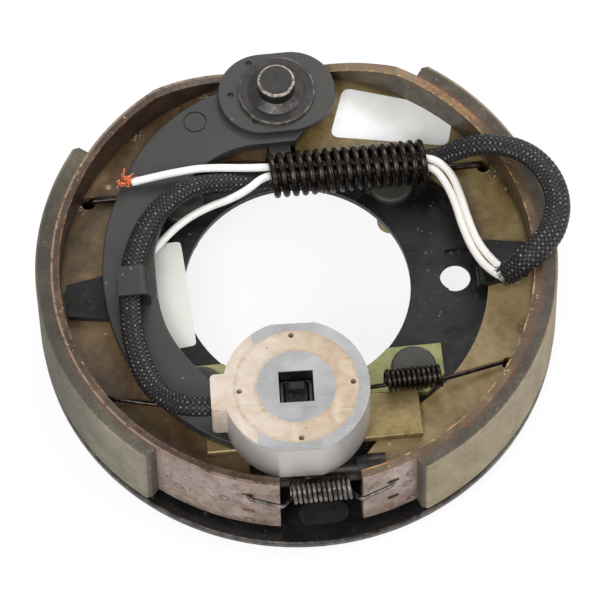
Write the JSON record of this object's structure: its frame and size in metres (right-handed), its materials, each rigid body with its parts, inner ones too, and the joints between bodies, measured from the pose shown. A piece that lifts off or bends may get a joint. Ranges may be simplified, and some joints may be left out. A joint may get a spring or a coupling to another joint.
{
  "type": "electric trailer brake assembly",
  "caption": "Electric drum brake for a trailer axle: dished backing plate, anchor post, lined shoes, swinging magnet lever, adjuster and springs.",
  "frame": {"origin": "centre of the bore, at the back of the raised middle of the backing plate, where it seats on the axle flange", "axes": "+Z towards the drum, +Y to the anchor post, +X to the right as seen from the drum"},
  "size_m": [0.1815, 0.176, 0.0613],
  "materials": {
    "black_enamel": "gloss, stamped steel",
    "lever_black": "matt e-coat with scuffs",
    "shoe_olive": "thin gold-brown coat over steel",
    "shoe_brown": "thin brown coat over steel",
    "table_bronze": "thin pinkish coat over steel, rusted edges",
    "friction": "matt moulded friction compound",
    "bare_steel": "ground, slightly tarnished",
    "post_steel": "turned, oiled, darkened",
    "washer_black": "dark satin, worn bright at its rims",
    "stud_black": "black oxide, satin",
    "adjuster_black": "black, greasy",
    "plug_rubber": "moulded, dusty",
    "zinc_yellow": "yellow passivated zinc",
    "resin": "ground flush, pinkish cream",
    "spring_black": "gloss, oiled",
    "spring_steel": "drawn wire",
    "copper": "enamelled copper",
    "sleeve_black": "braided sleeve",
    "wire_white": "insulated wire, some dirt"
  },
  "bodies": {
    "backing": {"backing_plate": "black_enamel", "slot_plug": "plug_rubber", "mounting_studs": "stud_black", "anchor_post": "post_steel", "retaining_plate": "washer_black", "domed_washer": "washer_black", "guide_bracket": "zinc_yellow", "adjusting_nut": "adjuster_black", "upper_return_spring": "spring_black", "lower_return_spring": "spring_black", "adjuster_spring": "spring_steel", "lead_sleeve": "sleeve_black", "lead_wire_a": "wire_white", "lead_wire_b": "wire_white"},
    "lever": {"lever_arm": "lever_black", "lead_clip": "lever_black", "lever_post": "post_steel", "post_clip": "spring_steel", "magnet_spring": "spring_steel", "lead_sleeve_on_lever": "sleeve_black", "lead_wire_a_on_lever": "wire_white"},
    "magnet": {"magnet_body": "bare_steel", "magnet_coil": "copper", "magnet_resin": "resin"},
    "primary_shoe": {"primary_web": "shoe_brown", "primary_table": "table_bronze", "primary_lining": "friction"},
    "secondary_shoe": {"secondary_web": "shoe_olive", "secondary_table": "table_bronze", "secondary_lining": "friction"},
    "socket": {"adjuster_socket": "adjuster_black", "thrust_washer": "adjuster_black"},
    "star_wheel": {"adjusting_screw": "adjuster_black"}
  },
  "joints": [
    {"name": "lever_swing", "type": "hinge", "parent": "backing", "child": "lever", "pos_m": [0, 0.0695, 0.0109], "axis": [0, 0, -1], "range_deg": [0, 4], "deforming": ["lead_sleeve", "lead_wire_a", "lead_wire_b"]},
    {"name": "magnet_press", "type": "slide", "parent": "lever", "child": "magnet", "axis": [0, 0, -1], "range_m": [0, 0.0015], "stiffness_N_per_m": 1500, "springref_m": -0.006, "deforming": ["magnet_spring", "lead_sleeve_on_lever"]},
    {"name": "primary_shoe_spread", "type": "hinge", "parent": "backing", "child": "primary_shoe", "pos_m": [-0.017, -0.0705, 0.0043], "axis": [0, 0, 1], "range_deg": [0, 0.83], "deforming": ["upper_return_spring", "lower_return_spring", "adjuster_spring"]},
    {"name": "star_wheel_turn", "type": "hinge", "parent": "socket", "child": "star_wheel", "pos_m": [0, -0.0705, 0.0043], "axis": [-1, 0, 0], "range_deg": [0, 1080]},
    {"name": "socket_extend", "type": "slide", "parent": "backing", "child": "socket", "axis": [1, 0, 0], "range_m": [0, 0.0038]},
    {"name": "secondary_shoe_adjust", "type": "hinge", "parent": "backing", "child": "secondary_shoe", "pos_m": [0, 0.0695, 0.0043], "axis": [0, 0, 1], "range_deg": [0, 1.57], "deforming": ["upper_return_spring", "lower_return_spring", "adjuster_spring"]}
  ],
  "couplings": [
    {"joint": "primary_shoe_spread", "follows": "lever_swing", "ratio": 0.205},
    {"joint": "star_wheel_turn", "follows": "socket_extend", "rad_per_m": 4947.4},
    {"joint": "secondary_shoe_adjust", "follows": "socket_extend", "rad_per_m": 7.1429}
  ]
}
